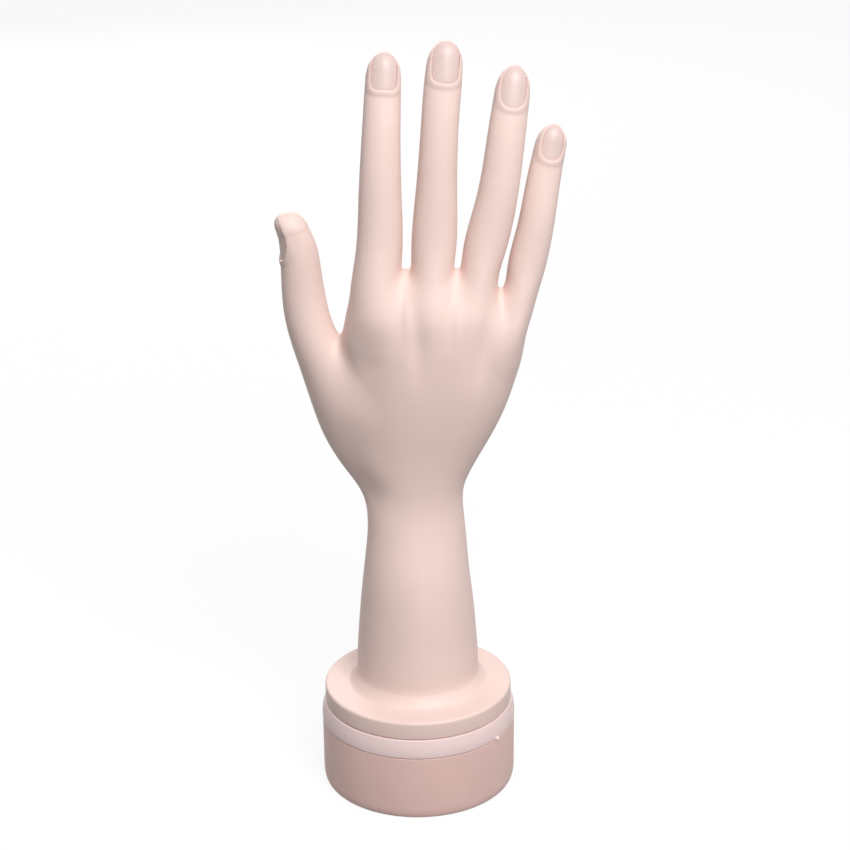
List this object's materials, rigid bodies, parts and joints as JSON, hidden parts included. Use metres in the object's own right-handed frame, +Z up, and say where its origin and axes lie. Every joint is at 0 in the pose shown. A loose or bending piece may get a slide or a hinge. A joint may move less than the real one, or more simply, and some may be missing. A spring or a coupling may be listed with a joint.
{
  "type": "posable hand model",
  "caption": "Right hand in soft skin on a short forearm and a round weighted foot; jointed fingers hold a pose and the hand turns on its foot.",
  "frame": {"origin": "centre of the underside of the foot pad", "axes": "+Z up along the forearm to the fingertips, back of the hand towards -Y, palm towards +Y, thumb towards -X"},
  "size_m": [0.112, 0.081, 0.3118],
  "materials": {
    "skin_vinyl": "satin soft vinyl",
    "foot_vinyl": "satin soft vinyl, darker",
    "collar_vinyl": "satin vinyl, paler",
    "nail_plastic": "smooth semi-gloss",
    "link_nylon": "moulded nylon",
    "steel": "plain turned",
    "weight_iron": "as cast",
    "pad_rubber": "matt"
  },
  "bodies": {
    "foot": {"foot_pad": "pad_rubber", "base_drum": "foot_vinyl", "base_weight": "weight_iron", "turning_collar": "collar_vinyl", "centre_bolt": "steel", "centre_nut": "steel"},
    "hand": {"forearm_core": "link_nylon", "forearm_skin": "skin_vinyl", "palm_plate": "link_nylon", "palm_skin": "skin_vinyl"},
    "index_proximal": {"index_proximal_sleeve": "skin_vinyl", "index_proximal_bone": "link_nylon", "index_root_pin": "steel"},
    "index_middle": {"index_middle_sleeve": "skin_vinyl", "index_middle_bone": "link_nylon", "index_middle_pin": "steel"},
    "index_distal": {"index_distal_sleeve": "skin_vinyl", "index_distal_bone": "link_nylon", "index_end_pin": "steel", "index_nail": "nail_plastic"},
    "middle_proximal": {"middle_proximal_sleeve": "skin_vinyl", "middle_proximal_bone": "link_nylon", "middle_root_pin": "steel"},
    "middle_middle": {"middle_middle_sleeve": "skin_vinyl", "middle_middle_bone": "link_nylon", "middle_middle_pin": "steel"},
    "middle_distal": {"middle_distal_sleeve": "skin_vinyl", "middle_distal_bone": "link_nylon", "middle_end_pin": "steel", "middle_nail": "nail_plastic"},
    "ring_proximal": {"ring_proximal_sleeve": "skin_vinyl", "ring_proximal_bone": "link_nylon", "ring_root_pin": "steel"},
    "ring_middle": {"ring_middle_sleeve": "skin_vinyl", "ring_middle_bone": "link_nylon", "ring_middle_pin": "steel"},
    "ring_distal": {"ring_distal_sleeve": "skin_vinyl", "ring_distal_bone": "link_nylon", "ring_end_pin": "steel", "ring_nail": "nail_plastic"},
    "little_proximal": {"little_proximal_sleeve": "skin_vinyl", "little_proximal_bone": "link_nylon", "little_root_pin": "steel"},
    "little_middle": {"little_middle_sleeve": "skin_vinyl", "little_middle_bone": "link_nylon", "little_middle_pin": "steel"},
    "little_distal": {"little_distal_sleeve": "skin_vinyl", "little_distal_bone": "link_nylon", "little_end_pin": "steel", "little_nail": "nail_plastic"},
    "thumb_proximal": {"thumb_proximal_sleeve": "skin_vinyl", "thumb_proximal_bone": "link_nylon", "thumb_root_pin": "steel"},
    "thumb_distal": {"thumb_distal_sleeve": "skin_vinyl", "thumb_distal_bone": "link_nylon", "thumb_end_pin": "steel", "thumb_nail": "nail_plastic"}
  },
  "joints": [
    {"name": "hand_turn", "type": "hinge", "parent": "foot", "child": "hand", "pos_m": [0, 0, 0.036], "axis": [0, 0, 1], "continuous": true},
    {"name": "index_root_bend", "type": "hinge", "parent": "hand", "child": "index_proximal", "pos_m": [-0.0129, -0.0009, 0.23092], "axis": [-0.9995, 0, 0.0332], "range_deg": [0, 70]},
    {"name": "index_middle_bend", "type": "hinge", "parent": "index_proximal", "child": "index_middle", "pos_m": [-0.01219, 0.00022, 0.25233], "axis": [-0.9994, 0, 0.0358], "range_deg": [0, 80]},
    {"name": "index_end_bend", "type": "hinge", "parent": "index_middle", "child": "index_distal", "pos_m": [-0.01107, 0.0038, 0.28148], "axis": [-0.999, 0, 0.0436], "range_deg": [0, 45]},
    {"name": "middle_root_bend", "type": "hinge", "parent": "hand", "child": "middle_proximal", "pos_m": [0.0084, -0.0013, 0.23092], "axis": [-0.9984, 0, 0.0558], "range_deg": [0, 70]},
    {"name": "middle_middle_bend", "type": "hinge", "parent": "middle_proximal", "child": "middle_middle", "pos_m": [0.00967, -0.0001, 0.25382], "axis": [-0.9983, 0, 0.0576], "range_deg": [0, 80]},
    {"name": "middle_end_bend", "type": "hinge", "parent": "middle_middle", "child": "middle_distal", "pos_m": [0.0115, 0.00313, 0.2845], "axis": [-0.9979, 0, 0.0645], "range_deg": [0, 45]},
    {"name": "ring_root_bend", "type": "hinge", "parent": "hand", "child": "ring_proximal", "pos_m": [0.02828, -0.0005, 0.22992], "axis": [-0.9759, 0, 0.2181], "range_deg": [0, 70]},
    {"name": "ring_middle_bend", "type": "hinge", "parent": "ring_proximal", "child": "ring_middle", "pos_m": [0.03296, 0.00062, 0.25083], "axis": [-0.9832, 0, 0.1823], "range_deg": [0, 80]},
    {"name": "ring_end_bend", "type": "hinge", "parent": "ring_middle", "child": "ring_distal", "pos_m": [0.03648, 0.00357, 0.27458], "axis": [-0.9923, 0, 0.1237], "range_deg": [0, 45]},
    {"name": "little_root_bend", "type": "hinge", "parent": "hand", "child": "little_proximal", "pos_m": [0.04408, 0.0011, 0.2224], "axis": [-0.9728, 0, 0.2317], "range_deg": [0, 70]},
    {"name": "little_middle_bend", "type": "hinge", "parent": "little_proximal", "child": "little_middle", "pos_m": [0.04788, 0.00224, 0.23836], "axis": [-0.9806, 0, 0.1961], "range_deg": [0, 80]},
    {"name": "little_end_bend", "type": "hinge", "parent": "little_middle", "child": "little_distal", "pos_m": [0.05069, 0.0047, 0.25566], "axis": [-0.9871, 0, 0.1599], "range_deg": [0, 45]},
    {"name": "thumb_root_bend", "type": "hinge", "parent": "hand", "child": "thumb_proximal", "pos_m": [-0.0408, 0.0075, 0.202], "axis": [-0.9863, 0, -0.165], "range_deg": [0, 40]},
    {"name": "thumb_end_bend", "type": "hinge", "parent": "thumb_proximal", "child": "thumb_distal", "pos_m": [-0.04238, 0.00642, 0.22019], "axis": [-0.2753, 0.9602, -0.0461], "range_deg": [0, 45]}
  ]
}
